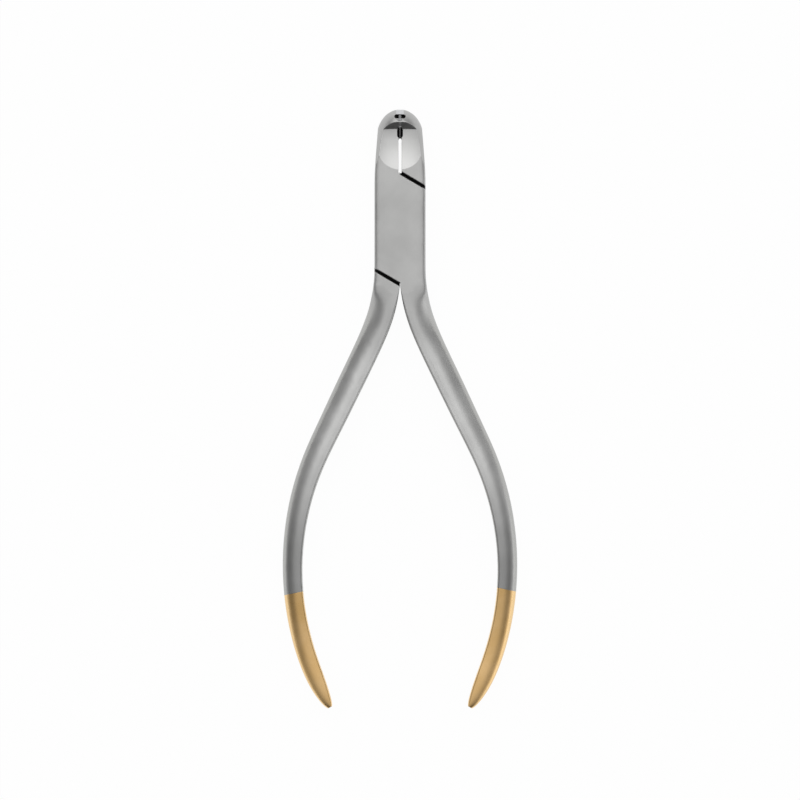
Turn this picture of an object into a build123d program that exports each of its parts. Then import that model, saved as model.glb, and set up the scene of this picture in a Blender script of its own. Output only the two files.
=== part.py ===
from build123d import *
from math import asin, cos, degrees, radians, sin, sqrt, tan
import os

# End cutter for orthodontic wire, with a safety hold and a flat lap joint.
# Millimetres and degrees. The tool lies on its back: +X to its right, +Y towards
# the jaws, +Z out of its front. X and Y are zero on the pivot axis and Z is zero
# on the back face. The two forged halves are one blank, turned over for the other
# side, so the pieces are modelled about the mid-plane and lifted at the end.

# Lap joint and box
joint_thickness = 8.0
joint_half_width = 5.42
face_land_half = 1.6
side_flat_half = 3.1
lap_angle = 30.5
lap_edge_distance = 9.95
shoulder_gap = 0.6
lap_clearance = 0.03
grinding_allowance = 0.02
halves_gap = 0.08

# Jaws
blank_top = 26.0
jaw_taper_start = 9.5
jaw_taper_radius = 60.0
jaw_taper_angle = 4.3
jaw_gap = 0.02
nose_flat_half = 0.8
nose_radius = 4.95
nose_centre = 19.5
nose_height = 5.95
nose_cone_angle = 11.3
nose_cone_length = 12.0

# Slot between the jaws and the blind recess at its end
slot_width = 0.68
slot_bottom = 11.9
slot_top = 19.4
recess_width = 1.2
recess_bottom = 19.25
recess_top = 21.5
recess_floor = -2.2

# Scooped front of the jaws
scoop_crease = 21.2
scoop_depth = 1.2
scoop_radius = 31.8
scoop_cross_radius = 17.0
scoop_half_width = 5.8
scoop_wall_angle = 50.4
scoop_wall_radius = 18.5

# Window in the nose, with the safety hold behind it
window_centre = 24.05
window_radius = 1.3
window_floor_radius = 1.0
window_floor = 3.7
pocket_bottom = 23.4
pocket_top = 24.3
pocket_reach = 1.2
pocket_floor = 0.5
leaf_window_front = 1.9
leaf_thickness = 0.27
leaf_bottom = 21.7
leaf_back = 0.8
leaf_front = 3.8
seat_clearance = 0.01

# Carbide cutting inserts across the end of the jaws
insert_half_width = 0.8
insert_bottom = 24.32
insert_back = -2.4

# Pivot screw
screw_head_diameter = 5.4
screw_head_height = 1.15
screw_head_recess = 0.15
screw_shank_diameter = 3.8
screw_thread_diameter = 3.0
screw_thread_length = 2.6
screw_slot_width = 0.8
screw_slot_depth = 0.6
screw_chamfer = 0.2
running_clearance = 0.025
thread_clearance = 0.01
hole_end_clearance = 0.1

# Handles, seen from the front: the line along their middle, arcs and a straight
handle_start = -12.0
box_flare_start = -8.1
box_flare_radius = 33.4
neck_radius = 38.0
straight_angle = 25.6
straight_length = 24.8
belly_radius = 59.5
tip_angle = -30.0

# Handle widths and thicknesses, and how far along the handle they are reached
neck_width = 5.5
neck_thickness = 6.6
neck_place = 0.18
belly_width = 4.1
belly_thickness = 5.4
belly_place = 0.75
foot_width = 4.0
foot_thickness = 4.4
foot_place = 0.886
tip_narrowing = 0.97
tip_thinning = 0.90

# Handles in section: flat towards the inside, rounded over on the outside
round_over_place = 0.055
inner_corner = 0.5
inner_corner_start = 0.05
handle_land_share = 0.24
handle_side_flat_half = 0.4
corner_allowance = 1.1
corner_share_most = 0.25
edge_chamfer = 0.15

# Gold plating on the handle ends, drawn thick enough to be a piece
plating_thickness = 0.1
left_plated_length = 25.7
right_plated_length = 26.5
plating_edge_tilt = 12.0

half_thickness = joint_thickness / 2
raw_half_thickness = half_thickness + grinding_allowance
half_lap = lap_clearance / 2
far = 140.0
on_line_tolerance = 0.001
upright_share = 0.9

# How many sections each stretch has, and how many points the curve of the nose
jaw_sections = 6
box_sections = 4
flare_sections = 2
round_over_sections = 4
handle_sections = 9
tip_sections = 5
nose_side_points = 2
nose_end_points = 3

# How full the curve from the face over to the side is, across and up
box_fullness = (0.87, 0.85)
handle_fullness = (0.45, 0.40)


def smooth(value, low, high):
    """0 below low, 1 above high, with an easy start and end between."""
    share = min(1.0, max(0.0, (value - low) / (high - low)))
    return share * share * (3 - 2 * share)


def between(start, end, share):
    return start + (end - start) * share


def spread(start, end, count):
    """This many even places from start on, the end itself left out."""
    return [between(start, end, step / count) for step in range(count)]


# Sections and outlines


def over_the_side(land_end, side, half_height, side_half, fullness):
    """Curve from the flat face over to the side of a section."""
    return Bezier(
        (land_end, half_height),
        (land_end + fullness[0] * (side - land_end), half_height),
        (side, side_half + fullness[1] * (half_height - side_half)),
        (side, side_half),
    )


def half_width_at(y):
    """Half width of the closed tool from the jaws down to the crotch."""
    if y < box_flare_start:
        drop = box_flare_start - y
        flare = box_flare_radius - sqrt(box_flare_radius**2 - drop**2)
        return joint_half_width + flare
    rise = max(0.0, y - jaw_taper_start)
    arc_rise = jaw_taper_radius * sin(radians(jaw_taper_angle))
    on_arc = min(rise, arc_rise)
    fall = jaw_taper_radius - sqrt(jaw_taper_radius**2 - on_arc**2)
    return joint_half_width - fall - (rise - on_arc) * tan(radians(jaw_taper_angle))


def box_section(y):
    """Whole section of the box or the jaws, crowned on both faces."""
    side = half_width_at(y)
    height = raw_half_thickness
    over = over_the_side(face_land_half, side, height, side_flat_half, box_fullness)
    top = Line((-face_land_half, height), (face_land_half, height))
    right = Line((side, side_flat_half), (side, -side_flat_half))
    under = mirror(over, Plane.XZ)
    loop = [top, over, right, under, mirror(top, Plane.XZ)]
    loop += [mirror(edge, Plane.YZ) for edge in (under, right, over)]
    across = Plane(origin=(0, y, 0), x_dir=(1, 0, 0), z_dir=(0, -1, 0))
    return across * Face(Wire([edge.edge() for edge in loop]))


def tangent_run(start, heading, pieces):
    """Wire of arcs (radius, heading at the end) and straights (length), all tangent.

    A heading is counted from straight down towards +X.
    """
    edges, place = [], Vector(*start)
    for piece in pieces:
        forward = Vector(sin(radians(heading)), -cos(radians(heading)))
        if isinstance(piece, tuple):
            radius, end_heading = piece
            edges.append(JernArc(place, forward, radius, end_heading - heading).edge())
            heading = end_heading
        else:
            edges.append(Line(place, place + forward * piece).edge())
        place = edges[-1] @ 1
    return Wire(edges)


box_side = half_width_at(handle_start)
root_side = halves_gap / 2
handle_line = tangent_run(
    ((box_side + root_side) / 2, handle_start),
    degrees(asin((box_flare_start - handle_start) / box_flare_radius)),
    [(neck_radius, straight_angle), straight_length, (belly_radius, tip_angle)],
)


def along_handle(share, start, neck, belly, foot, closing):
    """A size as share goes from the box to the tip, where it closes like an ellipse."""
    size = between(start, neck, smooth(share, 0, neck_place))
    size = between(size, belly, smooth(share, neck_place, belly_place))
    size = between(size, foot, smooth(share, belly_place, foot_place))
    past_foot = closing * max(0.0, share - foot_place) / (1 - foot_place)
    return size * sqrt(1 - past_foot**2)


def handle_section(share, inset=0.0):
    """D-shaped section of a handle, as share goes from the box to the tip."""
    rounded = smooth(share, 0, round_over_place)
    forward = handle_line % share
    across = between(Vector(1, 0), Vector(-forward.Y, forward.X), rounded).normalized()
    whole_width = along_handle(
        share, box_side - root_side, neck_width, belly_width, foot_width, tip_narrowing
    )
    thickness = along_handle(
        share, 2 * raw_half_thickness, neck_thickness, belly_thickness, foot_thickness, tip_thinning
    )
    width = whole_width - 2 * inset
    half_height = thickness / 2 - inset
    corner = between(inner_corner_start, inner_corner, rounded)
    corner = min(corner, corner_share_most * width, corner_share_most * 2 * half_height)
    box_land = face_land_half - halves_gap / 2
    land_end = max(between(box_land, handle_land_share * width, rounded), corner_allowance * corner)
    side_half = between(side_flat_half, handle_side_flat_half, rounded)
    side_half = min(side_half, half_height - corner)
    fullness = [between(a, b, rounded) for a, b in zip(box_fullness, handle_fullness)]
    over = over_the_side(land_end, width, half_height, side_half, fullness)
    land = Line((corner, half_height), (land_end, half_height))
    bend = corner * (1 - sqrt(0.5))
    turn = ThreePointArc(
        (0, half_height - corner), (bend, half_height - bend), (corner, half_height)
    )
    inside = Line((0, corner - half_height), (0, half_height - corner))
    outside = Line((width, side_half), (width, -side_half))
    upper = [turn, land, over]
    loop = [inside, *upper, outside, *[mirror(edge, Plane.XZ) for edge in reversed(upper)]]
    section = Face(Wire([edge.edge() for edge in loop]))
    origin = (handle_line @ share) - across * (width / 2)
    return Plane(origin=origin, x_dir=across, z_dir=(across.Y, -across.X, 0)) * section


# The blank that both halves are cut from


def plan_prism(points, low, high):
    """Upright prism on a polygon, from height low to height high."""
    return Pos(0, 0, low) * extrude(make_face(Polyline(*points, close=True)), high - low)


def along_lap(x, distance, leaning=1):
    """Y of the line at this distance from the pivot, above it if positive."""
    return (distance - leaning * x * sin(radians(lap_angle))) / cos(radians(lap_angle))


def whole_box():
    """Box and jaws as one solid bar, down to where the handles part."""
    places = spread(blank_top, jaw_taper_start, jaw_sections)
    places += spread(jaw_taper_start, box_flare_start, box_sections)
    places += spread(box_flare_start, handle_start, flare_sections)
    return loft([box_section(y) for y in [*places, handle_start]])


# Sections lie closer together where the handle leaves the box and where it ends
handle_shares = spread(0, round_over_place, round_over_sections)
handle_shares += spread(round_over_place, foot_place, handle_sections)
handle_shares += [1 - (1 - foot_place) * left**2 for left in spread(1, 0, tip_sections)]


def handle_bar():
    return loft([handle_section(share) for share in [*handle_shares, 1]])


def handle_core():
    """What is under the plating: the handle's end, smaller by its thickness all round."""
    core_end = 1 - plating_thickness / handle_line.length
    return loft([handle_section(share, plating_thickness) for share in [*handle_shares, core_end]])


def nose_keep():
    """Everything below and inside the bullet nose ground on the jaws."""
    flat_angle = asin(nose_flat_half / nose_radius)
    cone_slope = tan(radians(nose_cone_angle))
    # The cone leaves the ellipse where both have the same slope
    cone_angle = asin(
        cone_slope / sqrt(cone_slope**2 + (nose_radius / nose_height) ** 2)
    )
    low_y = nose_centre + nose_height * sin(cone_angle)
    low_r = nose_radius * cos(cone_angle)
    end_angle = radians(90) - flat_angle
    mid_angle = (cone_angle + end_angle) / 2
    angles = spread(cone_angle, mid_angle, nose_side_points)
    angles += spread(mid_angle, end_angle, nose_end_points)
    ellipse = [
        (nose_radius * cos(angle), nose_centre + nose_height * sin(angle))
        for angle in [*angles, end_angle]
    ]
    side = Spline(
        *ellipse, tangents=[(-cone_slope, 1), (-nose_radius, nose_height * tan(flat_angle))]
    )
    foot_r = low_r + nose_cone_length * cone_slope
    foot_y = low_y - nose_cone_length
    rest = Polyline(
        ellipse[-1],
        (0, ellipse[-1][1]),
        (0, -far),
        (far, -far),
        (far, foot_y),
        (foot_r, foot_y),
        ellipse[0],
    )
    return revolve(make_face([side.edge(), *rest.edges()]), Axis.Y)


def plating_plane(plated_length):
    """Plane across the right handle where the gold begins, facing the tip."""
    place = handle_line @ (1 - plated_length / handle_line.length)
    tilt = radians(plating_edge_tilt)
    return Plane(origin=place, z_dir=(-sin(tilt), -cos(tilt), 0))


def blank_layers():
    """What belongs to the blank in the front layer and in the back layer of the joint."""
    jaw_side = -jaw_gap / 2
    wide = 2 * joint_half_width
    shoulder = lap_edge_distance + shoulder_gap
    front = plan_prism(
        [
            (-wide, far),
            (jaw_side, far),
            (jaw_side, along_lap(jaw_side, lap_edge_distance)),
            (wide, along_lap(wide, lap_edge_distance)),
            (far, along_lap(wide, lap_edge_distance)),
            (far, -far),
            (root_side, -far),
            (root_side, along_lap(root_side, -lap_edge_distance)),
            (-wide, along_lap(-wide, -lap_edge_distance)),
        ],
        half_lap,
        far,
    )
    back_jaw = plan_prism(
        [
            (-wide, far),
            (jaw_side, far),
            (jaw_side, along_lap(jaw_side, shoulder, -1)),
            (-wide, along_lap(-wide, shoulder, -1)),
        ],
        -far,
        half_lap,
    )
    back_root = plan_prism(
        [
            (root_side, along_lap(root_side, -shoulder, -1)),
            (wide, along_lap(wide, -shoulder, -1)),
            (far, along_lap(wide, -shoulder, -1)),
            (far, -far),
            (root_side, -far),
        ],
        -far,
        half_lap,
    )
    return front + back_jaw + back_root


def break_gap_edges(blank):
    """Small chamfers along both sides of the shoulder gaps, on the outer faces."""
    lean = radians(lap_angle)
    shoulder = lap_edge_distance + shoulder_gap
    tests = [
        (Vector(sin(lean), cos(lean)), lap_edge_distance, 1),
        (Vector(sin(lean), cos(lean)), -lap_edge_distance, 1),
        (Vector(-sin(lean), cos(lean)), shoulder, -1),
        (Vector(-sin(lean), cos(lean)), -shoulder, -1),
    ]
    chosen = []
    for edge in blank.edges():
        ends = [edge @ share for share in (0, 0.5, 1)]
        upright = abs(ends[0].Z - ends[2].Z) > upright_share * (ends[0] - ends[2]).length
        for across, distance, face in tests:
            on_line = all(abs(end.dot(across) - distance) < on_line_tolerance for end in ends)
            outside = all(face * end.Z > half_thickness / 2 for end in ends)
            if on_line and outside and not upright:
                chosen.append(edge)
    return chamfer(chosen, edge_chamfer)


def swap_sides(shape):
    """The same thing turned over for the other side of the tool."""
    return Rot(0, 180, 0) * shape


# What is cut from both halves once they lie together


def jaw_slot():
    """Open slot between the jaws, round at its upper end."""
    half = slot_width / 2
    straight = slot_top - half - slot_bottom
    plan = Pos(0, slot_bottom + straight / 2) * Rectangle(slot_width, straight)
    plan += Pos(0, slot_top - half) * Circle(half)
    return Pos(0, 0, -far / 2) * extrude(plan, far)


def jaw_recess():
    """Blind recess where the slot ends, in front of the closed backs of the jaws."""
    length = recess_top - recess_bottom
    plan = Pos(0, recess_bottom + length / 2) * SlotOverall(length, recess_width, rotation=90)
    return Pos(0, 0, recess_floor) * extrude(plan, far)


def jaw_scoop():
    """Barrel-shaped cut in the front of the jaws, up to the steep wall under the nose."""
    floor = half_thickness - scoop_depth
    axis_height = floor + scoop_radius
    rise = scoop_half_width**2 / (2 * scoop_cross_radius)
    low = ThreePointArc(
        (-scoop_half_width, floor + rise), (0, floor), (scoop_half_width, floor + rise)
    )
    rest = Polyline(
        low @ 1, (scoop_half_width, axis_height), (-scoop_half_width, axis_height), low @ 0
    )
    turned = Plane(origin=(0, scoop_crease, 0), x_dir=(1, 0, 0), z_dir=(0, -1, 0))
    profile = turned * make_face([low.edge(), *rest.edges()])
    barrel = revolve(profile, Axis((0, scoop_crease, axis_height), (1, 0, 0)))
    lean = radians(scoop_wall_angle)
    wall = Plane(origin=(0, scoop_crease, floor), x_dir=(1, 0, 0), z_dir=(0, sin(lean), cos(lean)))
    inside_wall = wall * Pos(0, -scoop_wall_radius, 0) * Cylinder(scoop_wall_radius, far)
    return barrel & inside_wall


def window_dish():
    """Dished window in the nose that shows the ends of the hold leaves."""
    depth = half_thickness - window_floor
    dish = Cone(window_floor_radius, window_radius, depth)
    return Pos(0, window_centre, window_floor + depth / 2) * dish


def relief_pockets(floor):
    """Room beside the ends of the hold leaves, from this height to the front."""
    height = pocket_top - pocket_bottom
    plan = Pos(0, pocket_bottom + height / 2) * SlotOverall(2 * pocket_reach, height)
    return Pos(0, 0, floor) * extrude(plan, half_thickness)


def leaf_room(clearance=0.0):
    """Room of both hold leaves: a thin slab each side of where the jaws meet."""
    return Pos(0, leaf_bottom - clearance, leaf_back - clearance) * Box(
        2 * (jaw_gap / 2 + leaf_thickness + clearance),
        pocket_top - leaf_bottom + 2 * clearance,
        leaf_front - leaf_back + 2 * clearance,
        align=(Align.CENTER, Align.MIN, Align.MIN),
    )


def insert_room(clearance=0.0):
    """Room of both cutting inserts, open at the end of the nose."""
    return Pos(0, insert_bottom - clearance, insert_back - clearance) * Box(
        2 * (insert_half_width + clearance),
        far,
        far,
        align=(Align.CENTER, Align.MIN, Align.MIN),
    )


def left_side():
    return Pos(-jaw_gap / 2, 0, 0) * Box(
        far, far, far, align=(Align.MAX, Align.CENTER, Align.CENTER)
    )


# Pivot screw, and the holes that it turns and threads in


def screw_body(extra=0.0, thread_extra=0.0, end_extra=0.0):
    """Head, shank and thread about the pivot axis, from the back to the blind end."""
    head_top = screw_head_recess - half_thickness
    floor = head_top + screw_head_height
    head = Pos(0, 0, head_top) * extrude(Circle(screw_head_diameter / 2 + extra), floor - head_top)
    shank = Pos(0, 0, floor) * extrude(
        Circle(screw_shank_diameter / 2 + extra), -half_lap - floor
    )
    thread = Pos(0, 0, -half_lap) * extrude(
        Circle(screw_thread_diameter / 2 + thread_extra), screw_thread_length + end_extra
    )
    return head, shank, thread


def pivot_screw():
    head, shank, thread = screw_body()
    head = chamfer(head.edges().group_by(Axis.Z)[0], screw_chamfer)
    thread = chamfer(thread.edges().group_by(Axis.Z)[-1], screw_chamfer)
    slot_floor = screw_head_recess - half_thickness + screw_slot_depth
    slot = Pos(0, 0, slot_floor) * Box(
        far, screw_slot_width, far, align=(Align.CENTER, Align.CENTER, Align.MAX)
    )
    return head + shank + thread - Rot(0, 0, lap_angle) * slot


def rear_holes():
    """Counterbore and running bore of the rear half."""
    _, shank, _ = screw_body(extra=running_clearance)
    floor = screw_head_recess + screw_head_height + running_clearance - half_thickness
    counterbore = Pos(0, 0, -far) * extrude(
        Circle(screw_head_diameter / 2 + running_clearance), far + floor
    )
    return counterbore + shank + Pos(0, 0, half_lap) * shank


def front_hole():
    """Blind threaded hole of the front half, drawn plain."""
    _, _, thread = screw_body(thread_extra=thread_clearance, end_extra=hole_end_clearance)
    return thread + Pos(0, 0, half_lap) * thread


# The two halves and what they carry

box_bar = whole_box()
full_handle = handle_bar()
core = handle_core()
layers = blank_layers()
nose = nose_keep()
ground_faces = Box(2 * far, 2 * far, joint_thickness)


def blank_and_plating(plated_length):
    """One blank, thinner where it is plated, and the plating that lies on it."""
    gold_plane = plating_plane(plated_length)
    gold_side = gold_plane * Box(far, far, far, align=(Align.CENTER, Align.CENTER, Align.MIN))
    core_end = core & gold_side
    plating = (full_handle & gold_side) - core_end
    steel_bar = box_bar + (full_handle - gold_side) + core_end
    return break_gap_edges(steel_bar & layers & nose & ground_faces), plating


front_blank, right_plating = blank_and_plating(right_plated_length)
rear_blank, left_plating = blank_and_plating(left_plated_length)

jaw_cuts = jaw_slot() + jaw_recess() + jaw_scoop() + window_dish()
jaw_cuts += relief_pockets(leaf_window_front)
seats = insert_room(seat_clearance) + leaf_room(seat_clearance) + relief_pockets(pocket_floor)
front_half = front_blank - jaw_cuts - seats - front_hole()
rear_half = swap_sides(rear_blank) - jaw_cuts - seats - rear_holes()

jaw_front = (box_bar & nose & ground_faces) - jaw_cuts
insert_pair = jaw_front & insert_room()
leaf_pair = jaw_front & leaf_room()
left = left_side()
right = mirror(left, Plane.YZ)

pieces = {
    "rear_half": rear_half,
    "front_half": front_half,
    "pivot_screw": pivot_screw(),
    "left_cutting_insert": insert_pair & left,
    "right_cutting_insert": insert_pair & right,
    "left_hold_leaf": leaf_pair & left,
    "right_hold_leaf": leaf_pair & right,
    "left_handle_plating": swap_sides(left_plating),
    "right_handle_plating": right_plating,
}

os.makedirs("parts", exist_ok=True)
for name, piece in pieces.items():
    export_step(Pos(0, 0, half_thickness) * piece, f"parts/{name}.step")
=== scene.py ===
import math

import bpy
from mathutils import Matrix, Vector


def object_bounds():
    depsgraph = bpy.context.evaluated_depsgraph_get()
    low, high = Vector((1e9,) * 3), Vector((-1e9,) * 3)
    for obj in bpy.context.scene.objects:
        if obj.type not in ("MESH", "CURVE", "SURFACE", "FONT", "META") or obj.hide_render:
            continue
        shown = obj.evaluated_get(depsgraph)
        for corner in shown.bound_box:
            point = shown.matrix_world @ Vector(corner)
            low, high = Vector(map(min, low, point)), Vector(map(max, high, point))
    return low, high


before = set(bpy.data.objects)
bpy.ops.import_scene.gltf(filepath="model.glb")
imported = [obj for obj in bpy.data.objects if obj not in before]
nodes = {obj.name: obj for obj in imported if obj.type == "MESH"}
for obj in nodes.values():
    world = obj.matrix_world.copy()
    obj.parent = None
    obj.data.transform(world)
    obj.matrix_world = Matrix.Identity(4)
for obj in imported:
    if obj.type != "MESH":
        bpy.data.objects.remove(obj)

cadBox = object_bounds()
scene = bpy.context.scene
mm = 0.001


def hexToLinear(hexColour):
    # sRGB hex, as picked from a swatch, to the linear colour that shaders want
    channels = [int(hexColour[i:i + 2], 16) / 255 for i in (1, 3, 5)]
    linear = [c / 12.92 if c <= 0.04045 else ((c + 0.055) / 1.055) ** 2.4 for c in channels]
    return (*linear, 1.0)


def addNode(tree, kind, inputs=None, **settings):
    # one node with its settings; an input takes a value or another node's socket
    node = tree.nodes.new(kind)
    for name, value in settings.items():
        setattr(node, name, value)
    for name, value in (inputs or {}).items():
        if isinstance(value, bpy.types.NodeSocket):
            tree.links.new(value, node.inputs[name])
        else:
            node.inputs[name].default_value = value
    return node


def calculate(tree, operation, *values):
    inputs = dict(enumerate(values))
    return addNode(tree, "ShaderNodeMath", inputs, operation=operation).outputs["Value"]


def ramp(tree, value, ends, low, high, shape="LINEAR"):
    # low up to the first end of the value, high from the second one on
    return addNode(tree, "ShaderNodeMapRange", {
        "Value": value, "From Min": ends[0], "From Max": ends[1], "To Min": low, "To Max": high,
    }, interpolation_type=shape).outputs["Result"]


def easyRamp(tree, value, ends, low, high):
    return ramp(tree, value, ends, low, high, "SMOOTHSTEP")


def newMaterial(name):
    material = bpy.data.materials.new(name)
    material.use_nodes = True
    material.node_tree.nodes.clear()
    return material, material.node_tree


def noiseAt(tree, place, sizeMm, detail, roughness=0.5):
    # noise whose features are about sizeMm across
    return addNode(tree, "ShaderNodeTexNoise", {
        "Vector": place, "Scale": 1.0 / (sizeMm * mm), "Detail": detail, "Roughness": roughness,
    }).outputs["Fac"]


def mixColour(tree, factor, first, second):
    return addNode(tree, "ShaderNodeMix", {
        "Factor": factor, "A": first, "B": second}, data_type="RGBA").outputs["Result"]


def bumpFrom(tree, height, depthMm, edgeNormal=None):
    inputs = {"Height": height, "Distance": depthMm * mm, "Strength": 1.0}
    if edgeNormal is not None:
        inputs["Normal"] = edgeNormal
    return addNode(tree, "ShaderNodeBump", inputs).outputs["Normal"]


def finishMetal(tree, colour, roughness, normal):
    shader = addNode(tree, "ShaderNodeBsdfPrincipled", {
        "Base Color": colour, "Metallic": 1.0, "Roughness": roughness, "Normal": normal})
    addNode(tree, "ShaderNodeOutputMaterial", {"Surface": shader.outputs["BSDF"]})


# Camera, square above the tool as it lies on its back

cameraSetup = {
    "pictureSide": 800,  # pixels
    "mmPerPixel": 0.2129,
    "aimY": -36.4,  # mm, what the middle of the picture looks at
    "height": 1500.0,  # mm above the tool's mid-plane
    "sensor": 36.0,  # mm
    "clip": (0.05, 20.0),  # m
}


def makeCamera(setup):
    fieldMm = setup["pictureSide"] * setup["mmPerPixel"]
    data = bpy.data.cameras.new("straightDown")
    data.sensor_width = setup["sensor"]
    data.lens = setup["sensor"] * setup["height"] / fieldMm
    data.clip_start, data.clip_end = setup["clip"]
    camera = bpy.data.objects.new("straightDown", data)
    midHeight = (cadBox[0].z + cadBox[1].z) / 2
    camera.location = (0.0, setup["aimY"] * mm, midHeight + setup["height"] * mm)
    scene.collection.objects.link(camera)
    scene.camera = camera


makeCamera(cameraSetup)
print("camera ready")


# What the metals share: painted shade in gaps, pockets and near the table,
# and edges that hands have rubbed

# painted shade: a dark colour mixed in where the surface is closed in
paintedGapShade = {
    "colour": "#1c1b1b",
    "openness": (0.44, 0.95),  # all painted shade where less than this is open, and none beyond
    "samples": 8,
}

wear = {
    "alike": (0.80, 0.985),  # cosine between rounded and true normal, at an edge and away from it
    "samples": 6,
}


# painted shade: darkens a colour in gaps, pockets and near the table
def addPaintedGapShade(tree, colour, reachMm):
    seen = addNode(tree, "ShaderNodeAmbientOcclusion", {
        "Distance": reachMm * mm}, samples=paintedGapShade["samples"])
    gapShadeAmount = ramp(tree, seen.outputs["AO"], paintedGapShade["openness"], 1.0, 0.0)
    return mixColour(tree, gapShadeAmount, colour, hexToLinear(paintedGapShade["colour"]))


def softEdges(tree, radiusMm):
    # normal of the surface with its sharp edges rounded, and 1 on an edge, 0 away from it
    bevel = addNode(tree, "ShaderNodeBevel", {"Radius": radiusMm * mm}, samples=wear["samples"])
    flat = addNode(tree, "ShaderNodeNewGeometry").outputs["Normal"]
    alike = addNode(tree, "ShaderNodeVectorMath", {
        0: bevel.outputs["Normal"], 1: flat}, operation="DOT_PRODUCT").outputs["Value"]
    return bevel.outputs["Normal"], ramp(tree, alike, wear["alike"], 1.0, 0.0)


# Bead-blasted metal: an even soft sheen, brighter where edges have been rubbed. Each pair in mm
# is a place along the tool, where a change begins and where it is complete

satinSteelLook = {
    "colour": "#c8c8c7",  # stainless steel after bead blasting
    "shadeColour": "#bebebd",
    "roughness": (0.34, 0.42),
    "gritMm": 0.22,  # real blast dimples are near 0.05 mm, drawn coarser so that they show
    "gritDepth": 0.0025,  # mm
    "cloudMm": 7.0,  # slight unevenness of the blasting
    "edgeMm": 0.14,
    "edgeColour": "#cfcfce",
    # how far the painted shade in gaps reaches
    "gapShadeReachMm": 1.9,
    "boxFrom": (-36.0, -12.0),  # mm, darker from here up to the box and on to the jaws
    "boxShare": 0.86,
    "paintedShadeFrom": (-46.0, -72.0),  # mm, painted shade, darker down towards the grip and the handle ends
    "paintedShadeShare": 0.56,
    "flankPaintedLightColour": "#b4b4b2",  # painted shade, darker on the sides of the handles, which are also smoother
    "flankRoughness": 0.24,
}

# Thin gold plating over the blasted steel: warm, and the grain shows through
goldPlateLook = {
    "colour": "#e8c28a",
    "shadeColour": "#deb679",
    "roughness": (0.26, 0.34),
    "gritMm": 0.22,
    "gritDepth": 0.0018,
    "cloudMm": 5.0,
    "edgeMm": 0.10,
    "edgeColour": "#ecca94",
    # how far the painted shade in gaps reaches
    "gapShadeReachMm": 1.9,
    "boxFrom": (-36.0, -12.0),
    "boxShare": 1.0,
    # painted shade, darker from the tip up to where the plating starts
    "paintedShadeFrom": (-95.0, -79.0),
    "paintedShadeShare": 0.78,
    # painted highlight, lighter on the sides of the handles
    "flankPaintedLightColour": "#f0cf9c",
    "flankRoughness": 0.22,
}

flanks = {
    "below": (-15.0, -21.0),  # mm
    "lean": (0.82, 0.66),  # upright part of the normal, on the front and on a flank
}

blasting = {
    "cloudDetail": 3.0,
    "colourRange": (0.35, 0.65),  # of the clouds' noise, from shadeColour to colour
    "sheenRange": (0.3, 0.7),  # and from the first roughness to the second
    "gritDetail": 2.0,
    "gritRoughness": 0.7,
}


def blastedMetal(name, look):
    material, tree = newMaterial(name)
    place = addNode(tree, "ShaderNodeTexCoord").outputs["Object"]
    cloud = noiseAt(tree, place, look["cloudMm"], blasting["cloudDetail"])
    grit = noiseAt(
        tree, place, look["gritMm"], blasting["gritDetail"], blasting["gritRoughness"])
    edgeNormal, edge = softEdges(tree, look["edgeMm"])

    body = mixColour(tree, ramp(tree, cloud, blasting["colourRange"], 0.0, 1.0),
                     hexToLinear(look["shadeColour"]), hexToLinear(look["colour"]))
    colour = mixColour(tree, edge, body, hexToLinear(look["edgeColour"]))
    along = addNode(tree, "ShaderNodeSeparateXYZ", {"Vector": place}).outputs["Y"]
    # darker towards the box, and painted shade darkening the handles along their length
    for ends, share in ((look["boxFrom"], look["boxShare"]),
                        (look["paintedShadeFrom"], look["paintedShadeShare"])):
        darkening = easyRamp(tree, along, [end * mm for end in ends], 1.0, share)
        colour = addNode(tree, "ShaderNodeVectorMath", {
            0: colour, "Scale": darkening}, operation="SCALE").outputs["Vector"]

    # the handles' steep sides get painted light, painted shade on steel and a painted highlight
    # on gold, and are smoother too
    facing = addNode(tree, "ShaderNodeNewGeometry").outputs["Normal"]
    upright = calculate(
        tree, "ABSOLUTE", addNode(tree, "ShaderNodeSeparateXYZ", {"Vector": facing}).outputs["Z"])
    flank = calculate(
        tree, "MULTIPLY", easyRamp(tree, upright, flanks["lean"], 0.0, 1.0),
        easyRamp(tree, along, [end * mm for end in flanks["below"]], 0.0, 1.0))
    colour = mixColour(tree, flank, colour, hexToLinear(look["flankPaintedLightColour"]))
    sheen = ramp(tree, cloud, blasting["sheenRange"], *look["roughness"])

    finishMetal(
        tree, addPaintedGapShade(tree, colour, look["gapShadeReachMm"]),
        ramp(tree, flank, (0.0, 1.0), sheen, look["flankRoughness"]),
        bumpFrom(tree, grit, look["gritDepth"], edgeNormal))
    return material


# Sintered tungsten carbide, slightly bluish, with upright grinding lines
carbideLook = {
    "colour": "#cfd0d2",
    "roughness": (0.30, 0.40),
    "lineMm": 0.12,
    "lineDepth": 0.001,  # mm
    "stretch": (1.0, 1.0, 0.05),  # the lines run along the small one
    # how far the painted shade in gaps reaches
    "gapShadeReachMm": 1.9,
}

# Cold-rolled spring strip, darker than the blasted halves, lines along the strip
springSteelLook = {
    "colour": "#a4a5a7",
    "roughness": (0.32, 0.42),
    "lineMm": 0.1,
    "lineDepth": 0.001,
    "stretch": (1.0, 0.05, 1.0),
    "gapShadeReachMm": 0.7,  # reach of the painted shade, shorter here, so the leaves get less of it
}

lineDetail = 1.0


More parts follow.
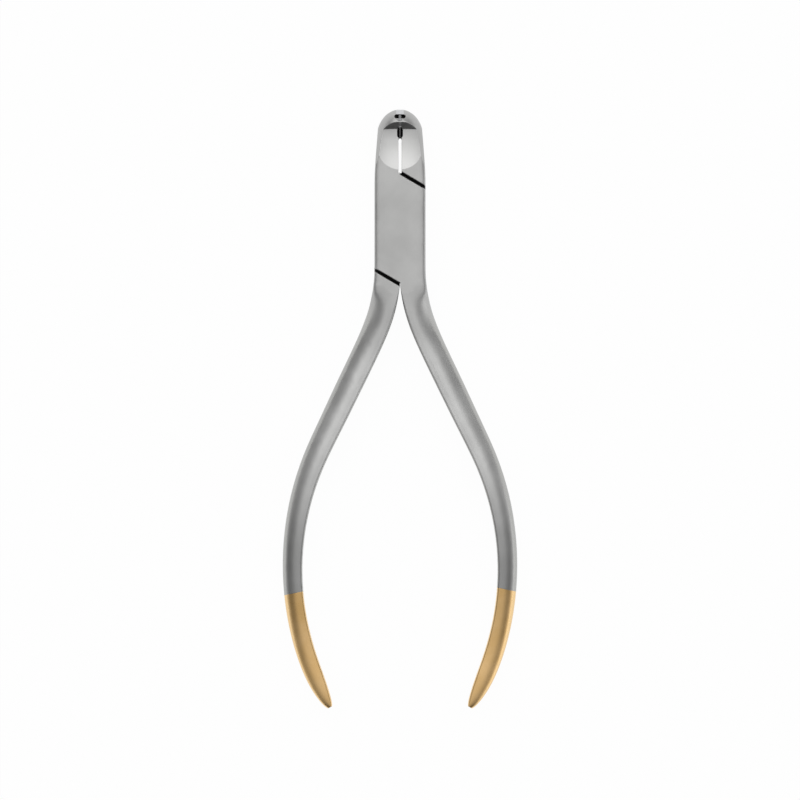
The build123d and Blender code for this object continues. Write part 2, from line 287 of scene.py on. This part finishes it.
def linedMetal(name, look):
    # metal with fine straight lines, from grinding or rolling
    material, tree = newMaterial(name)
    place = addNode(tree, "ShaderNodeTexCoord").outputs["Object"]
    stretched = addNode(tree, "ShaderNodeMapping", {"Vector": place, "Scale": look["stretch"]})
    lines = noiseAt(tree, stretched.outputs["Vector"], look["lineMm"], lineDetail)
    finishMetal(
        tree, addPaintedGapShade(tree, hexToLinear(look["colour"]), look["gapShadeReachMm"]),
        ramp(tree, lines, (0.0, 1.0), *look["roughness"]),
        bumpFrom(tree, lines, look["lineDepth"]))
    return material


# Stainless screw turned on a lathe: fine rings round the pivot axis
turnedSteelLook = {
    "colour": "#c4c4c2",
    "roughness": (0.28, 0.36),
    "ringMm": 0.14,
    "ringDepth": 0.002,  # mm
    "ringWobble": 0.3,
    "ringDetail": 1.0,
}


def turnedMetal(name, look):
    material, tree = newMaterial(name)
    place = addNode(tree, "ShaderNodeTexCoord").outputs["Object"]
    # one ring of a wave texture is pi / 10 long at scale 1
    rings = addNode(tree, "ShaderNodeTexWave", {
        "Vector": place, "Scale": math.pi / (10 * look["ringMm"] * mm),
        "Distortion": look["ringWobble"], "Detail": look["ringDetail"],
    }, wave_type="RINGS", rings_direction="Z").outputs["Fac"]
    finishMetal(
        tree, hexToLinear(look["colour"]), ramp(tree, rings, (0.0, 1.0), *look["roughness"]),
        bumpFrom(tree, rings, look["ringDepth"]))
    return material


finishes = (
    (blastedMetal("bead_blasted_stainless_steel", satinSteelLook), ("rear_half", "front_half")),
    (blastedMetal("satin_gold_plating", goldPlateLook),
     ("left_handle_plating", "right_handle_plating")),
    (linedMetal("ground_tungsten_carbide", carbideLook),
     ("left_cutting_insert", "right_cutting_insert")),
    (linedMetal("rolled_spring_steel", springSteelLook), ("left_hold_leaf", "right_hold_leaf")),
    (turnedMetal("turned_stainless_steel", turnedSteelLook), ("pivot_screw",)),
)
for material, names in finishes:
    for name in names:
        mesh = nodes[name].data
        mesh.materials.clear()
        mesh.materials.append(material)
print("metals ready")


# Table top, white to the camera but with the tool's soft shadow left on it

floorLook = {
    "side": 6.0,  # m
    "albedo": 0.9,
    "drop": 0.00002,  # m below the tool's back
    "glow": 0.97,  # share of plain white in what the camera and the metals see
}


def makeFloor(look):
    bpy.ops.mesh.primitive_plane_add(size=look["side"], location=(0, 0, -look["drop"]))
    floor = bpy.context.object
    floor.name = "white_table"
    material, tree = newMaterial("matt_white_laminate")
    path = addNode(tree, "ShaderNodeLightPath").outputs
    seen = calculate(tree, "MAXIMUM", path["Is Camera Ray"], path["Is Glossy Ray"])
    seen = calculate(tree, "MAXIMUM", seen, path["Is Transmission Ray"])
    matt = addNode(tree, "ShaderNodeBsdfDiffuse", {"Color": (look["albedo"],) * 3 + (1.0,)})
    white = addNode(tree, "ShaderNodeEmission", {"Color": (1.0, 1.0, 1.0, 1.0), "Strength": 1.0})
    mixed = addNode(tree, "ShaderNodeMixShader", {
        "Fac": calculate(tree, "MULTIPLY", seen, look["glow"]),
        1: matt.outputs["BSDF"], 2: white.outputs["Emission"]})
    addNode(tree, "ShaderNodeOutputMaterial", {"Surface": mixed.outputs["Shader"]})
    floor.data.materials.append(material)


makeFloor(floorLook)
print("table ready")


# Studio: a pale tent, darker towards the sides and the handle ends, brighter towards the jaws.
# A share multiplies the strength. The pair named From says how far a direction leans that way,
# 0 straight up and 1 level, where the change begins and where it is complete

studioLook = {
    "zenith": 0.81,  # strength straight above
    "sideShare": 0.38,  # what is left towards the sides
    "sideFrom": (0.42, 0.88),
    "wallShare": (2.0, 5.0),  # left and right, pale walls low down where the tent has ended
    "wallTurn": -0.35,  # they stand rather towards the handle ends than towards the jaws
    "wallFrom": (0.78, 0.98),
    "wallHeight": (0.36, 0.16),  # how steeply the direction points up, no wall and full wall
    "headShare": 2.9,  # how much brighter it gets towards the jaws
    "headFrom": (0.08, 0.50),
    "headWidth": (0.30, 0.65),  # how far sideways that begins to end, and has ended
    "browShare": 0.26,  # and how much is left of that low down beyond the jaws
    "browFrom": (0.50, 0.80),
    "footShare": 0.05,  # what is left towards the handle ends
    "footFrom": (0.40, 0.88),
}

keyLook = {
    "power": 1.9,  # W
    "size": 0.9,  # m
    "place": (-0.5, 1.3, 0.75),  # m
}


def makeWorld(look):
    world = bpy.data.worlds.new("pale_tent")
    world.use_nodes = True
    tree = world.node_tree
    tree.nodes.clear()
    direction = addNode(tree, "ShaderNodeTexCoord").outputs["Generated"]
    lean = addNode(tree, "ShaderNodeSeparateXYZ", {"Vector": direction}).outputs
    sideways = calculate(tree, "ABSOLUTE", lean["X"])
    footward = calculate(tree, "MULTIPLY", lean["Y"], -1.0)
    wallward = calculate(tree, "MULTIPLY_ADD", lean["Y"], look["wallTurn"], sideways)
    wallShare = easyRamp(tree, lean["X"], (-1.0, 1.0), *look["wallShare"])
    wallShare = easyRamp(tree, lean["Z"], look["wallHeight"], 1.0, wallShare)
    headShare = easyRamp(tree, sideways, look["headWidth"], look["headShare"], 1.0)
    level = look["zenith"]
    for value, ends, share in (
        (sideways, look["sideFrom"], look["sideShare"]),
        (wallward, look["wallFrom"], wallShare),
        (lean["Y"], look["headFrom"], headShare),
        (lean["Y"], look["browFrom"], look["browShare"]),
        (footward, look["footFrom"], look["footShare"]),
    ):
        level = calculate(tree, "MULTIPLY", level, easyRamp(tree, value, ends, 1.0, share))
    path = addNode(tree, "ShaderNodeLightPath").outputs
    # plain white behind everything for the camera itself
    strength = addNode(tree, "ShaderNodeMix", {
        "Factor": path["Is Camera Ray"], "A": level, "B": 1.0}, data_type="FLOAT")
    light = addNode(tree, "ShaderNodeBackground", {
        "Color": (1.0, 1.0, 1.0, 1.0), "Strength": strength.outputs["Result"]})
    addNode(tree, "ShaderNodeOutputWorld", {"Surface": light.outputs["Background"]})
    scene.world = world


def makeKeyLight(look):
    data = bpy.data.lights.new("head_softbox", "AREA")
    data.shape, data.size, data.energy = "SQUARE", look["size"], look["power"]
    lamp = bpy.data.objects.new("head_softbox", data)
    lamp.location = look["place"]
    lamp.rotation_euler = (-lamp.location).to_track_quat("-Z", "Y").to_euler()
    lamp.visible_camera = False
    scene.collection.objects.link(lamp)


makeWorld(studioLook)
makeKeyLight(keyLook)
scene.view_settings.view_transform = "Standard"
print("studio ready")
